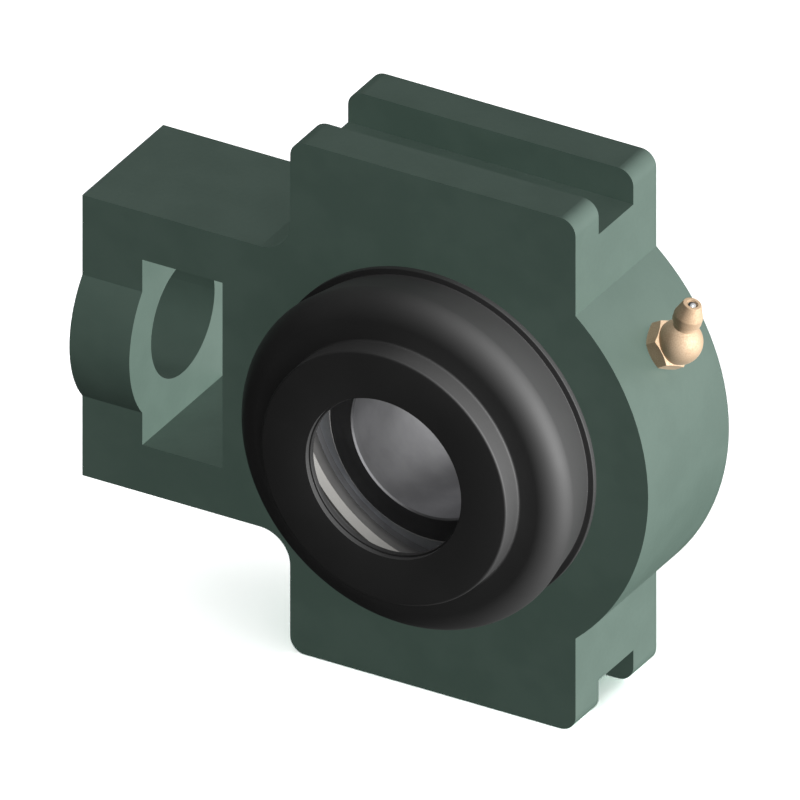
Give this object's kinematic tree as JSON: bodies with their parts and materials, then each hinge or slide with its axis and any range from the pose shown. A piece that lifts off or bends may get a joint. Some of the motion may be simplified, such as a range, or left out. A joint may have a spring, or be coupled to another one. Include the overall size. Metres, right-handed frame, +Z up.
{
  "type": "take up bearing unit",
  "caption": "Slide housing with guide slots, adjusting screw end, self-aligning ball bearing insert, open dust covers and an elbow grease nipple, for tensioning a shaft.",
  "frame": {"origin": "centre of the bearing, on the shaft axis halfway between the housing's faces", "axes": "+Y along the shaft to the rear, the long side of the bearing insert; +X along the guide rails from the screw end to the round end; +Z up"},
  "size_m": [0.1155, 0.0622, 0.102],
  "materials": {
    "green_cast_iron": "smooth green machine enamel on the casting",
    "bearing_steel": "ground",
    "polished_steel": "polished",
    "cage_steel": "pressed sheet, plain",
    "zinc_plated_steel": "zinc plated",
    "black_oxide_steel": "black oxide",
    "black_cover_enamel": "gloss black",
    "seal_rubber": "moulded nitrile rubber",
    "nipple_brass": "turned, slightly dull"
  },
  "bodies": {
    "housing": {"housing": "green_cast_iron", "front_cover": "black_cover_enamel", "rear_cover": "black_cover_enamel", "front_cover_seal": "seal_rubber", "rear_cover_seal": "seal_rubber", "grease_nipple": "nipple_brass", "nipple_spring": "cage_steel"},
    "outer_ring": {"outer_ring": "bearing_steel", "front_seal": "seal_rubber", "rear_seal": "seal_rubber"},
    "inner_ring": {"inner_ring": "bearing_steel", "front_flinger": "zinc_plated_steel", "rear_flinger": "zinc_plated_steel", "set_screw_1": "black_oxide_steel", "set_screw_2": "black_oxide_steel"},
    "cage": {"cage_front": "cage_steel", "cage_rear": "cage_steel", "cage_rivets": "cage_steel"},
    "nipple_ball": {"nipple_ball": "polished_steel"},
    "ball_1": {"ball_1": "polished_steel"},
    "ball_2": {"ball_2": "polished_steel"},
    "ball_3": {"ball_3": "polished_steel"},
    "ball_4": {"ball_4": "polished_steel"},
    "ball_5": {"ball_5": "polished_steel"},
    "ball_6": {"ball_6": "polished_steel"},
    "ball_7": {"ball_7": "polished_steel"},
    "ball_8": {"ball_8": "polished_steel"},
    "ball_9": {"ball_9": "polished_steel"}
  },
  "joints": [
    {"name": "align", "type": "hinge", "parent": "housing", "child": "outer_ring", "pos_m": [0, 0, 0], "axis": [1, 0, 0], "range_deg": [-1, 1]},
    {"name": "inner_spin", "type": "hinge", "parent": "outer_ring", "child": "inner_ring", "pos_m": [0, 0, 0], "axis": [0, 1, 0], "continuous": true},
    {"name": "cage_spin", "type": "hinge", "parent": "outer_ring", "child": "cage", "pos_m": [0, 0, 0], "axis": [0, 1, 0], "continuous": true},
    {"name": "ball_1_spin", "type": "hinge", "parent": "cage", "child": "ball_1", "pos_m": [0.023, 0, 0], "axis": [0, 1, 0], "continuous": true},
    {"name": "ball_2_spin", "type": "hinge", "parent": "cage", "child": "ball_2", "pos_m": [0.01762, 0, 0.01478], "axis": [0, 1, 0], "continuous": true},
    {"name": "ball_3_spin", "type": "hinge", "parent": "cage", "child": "ball_3", "pos_m": [0.00399, 0, 0.02265], "axis": [0, 1, 0], "continuous": true},
    {"name": "ball_4_spin", "type": "hinge", "parent": "cage", "child": "ball_4", "pos_m": [-0.0115, 0, 0.01992], "axis": [0, 1, 0], "continuous": true},
    {"name": "ball_5_spin", "type": "hinge", "parent": "cage", "child": "ball_5", "pos_m": [-0.02161, 0, 0.00787], "axis": [0, 1, 0], "continuous": true},
    {"name": "ball_6_spin", "type": "hinge", "parent": "cage", "child": "ball_6", "pos_m": [-0.02161, 0, -0.00787], "axis": [0, 1, 0], "continuous": true},
    {"name": "ball_7_spin", "type": "hinge", "parent": "cage", "child": "ball_7", "pos_m": [-0.0115, 0, -0.01992], "axis": [0, 1, 0], "continuous": true},
    {"name": "ball_8_spin", "type": "hinge", "parent": "cage", "child": "ball_8", "pos_m": [0.00399, 0, -0.02265], "axis": [0, 1, 0], "continuous": true},
    {"name": "ball_9_spin", "type": "hinge", "parent": "cage", "child": "ball_9", "pos_m": [0.01762, 0, -0.01478], "axis": [0, 1, 0], "continuous": true},
    {"name": "check_ball_slide", "type": "slide", "parent": "housing", "child": "nipple_ball", "axis": [-0.2924, 0, -0.9563], "range_m": [0, 0.0006], "stiffness_N_per_m": 200, "springref_m": -0.001, "deforming": ["nipple_spring"]}
  ],
  "couplings": [
    {"joint": "cage_spin", "follows": "inner_spin", "ratio": 0.39647},
    {"joint": "ball_1_spin", "follows": "inner_spin", "ratio": -2.3112},
    {"joint": "ball_2_spin", "follows": "inner_spin", "ratio": -2.3112},
    {"joint": "ball_3_spin", "follows": "inner_spin", "ratio": -2.3112},
    {"joint": "ball_4_spin", "follows": "inner_spin", "ratio": -2.3112},
    {"joint": "ball_5_spin", "follows": "inner_spin", "ratio": -2.3112},
    {"joint": "ball_6_spin", "follows": "inner_spin", "ratio": -2.3112},
    {"joint": "ball_7_spin", "follows": "inner_spin", "ratio": -2.3112},
    {"joint": "ball_8_spin", "follows": "inner_spin", "ratio": -2.3112},
    {"joint": "ball_9_spin", "follows": "inner_spin", "ratio": -2.3112}
  ]
}
